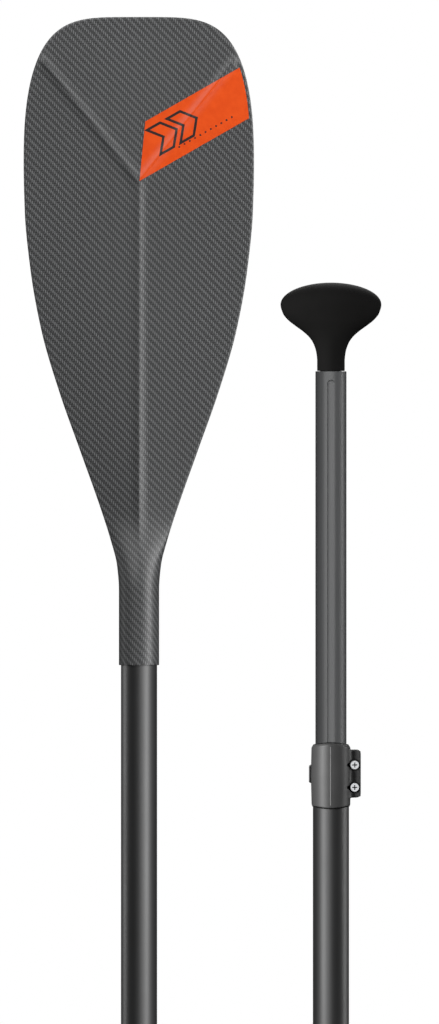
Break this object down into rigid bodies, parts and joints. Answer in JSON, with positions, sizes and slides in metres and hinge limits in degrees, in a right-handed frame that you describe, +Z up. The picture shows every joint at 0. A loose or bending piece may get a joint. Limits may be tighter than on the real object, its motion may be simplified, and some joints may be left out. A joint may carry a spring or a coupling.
{
  "type": "single blade paddle",
  "caption": "Take-apart adjustable paddle for stand-up paddling: ribbed blade section with a plug-in ferrule, and a handle section with a lever clamp, sliding tube and palm grip.",
  "frame": {"origin": "centre of the socket mouth, which is the lower end of the handle section's outer shaft", "axes": "+Z up along both shafts towards the blade's tip and the grip, +X to the right across the blade's face from the blade section to the handle section, -Y out of the ribbed face of the blade"},
  "size_m": [0.2965, 0.0775, 1.092],
  "materials": {
    "blade_skin": "clear-coated dark grey twill weave, satin",
    "gloss_tube": "glossy near-black laminate tube",
    "satin_tube": "satin mid-grey laminate tube",
    "clamp_plastic": "dark grey moulded nylon, satin",
    "black_plastic": "black moulded plastic",
    "grip": "near-black moulded grip, fine matte texture",
    "foam": "pale closed-cell foam",
    "steel": "stainless steel",
    "brass": "turned brass"
  },
  "bodies": {
    "handle_section": {"outer_shaft": "gloss_tube", "guide_bush": "black_plastic", "clamp_collar": "clamp_plastic", "clamp_screw_upper": "steel", "clamp_screw_lower": "steel", "barrel_nut": "brass", "cam_pad": "black_plastic"},
    "lever": {"clamp_lever": "clamp_plastic"},
    "slider": {"inner_tube": "satin_tube", "glide_bush": "black_plastic", "inner_tube_plug": "foam", "handle_core": "black_plastic", "handle_grip": "grip"},
    "blade_section": {"blade_front_shell": "blade_skin", "blade_back_shell": "blade_skin", "blade_core": "foam", "blade_edge_rail": "black_plastic", "lower_shaft": "gloss_tube", "lower_shaft_plug": "foam", "ferrule": "satin_tube", "stop_ring": "black_plastic", "button_spring": "steel"},
    "button": {"snap_button": "steel"}
  },
  "joints": [
    {"name": "length_slide", "type": "slide", "parent": "handle_section", "child": "slider", "axis": [0, 0, 1], "range_m": [-0.25, 0.08]},
    {"name": "lever_hinge", "type": "hinge", "parent": "handle_section", "child": "lever", "pos_m": [0.01975, 0.0126, 0.4652], "axis": [0, 0, -1], "range_deg": [0, 120]},
    {"name": "blade_lift", "type": "slide", "parent": "handle_section", "child": "blade_section", "axis": [0, 0, 1], "range_m": [0, 0.3]},
    {"name": "button_slide", "type": "slide", "parent": "blade_section", "child": "button", "axis": [0, 1, 0], "range_m": [0, 0.0042], "stiffness_N_per_m": 900, "springref_m": -0.004, "deforming": ["button_spring"]}
  ]
}
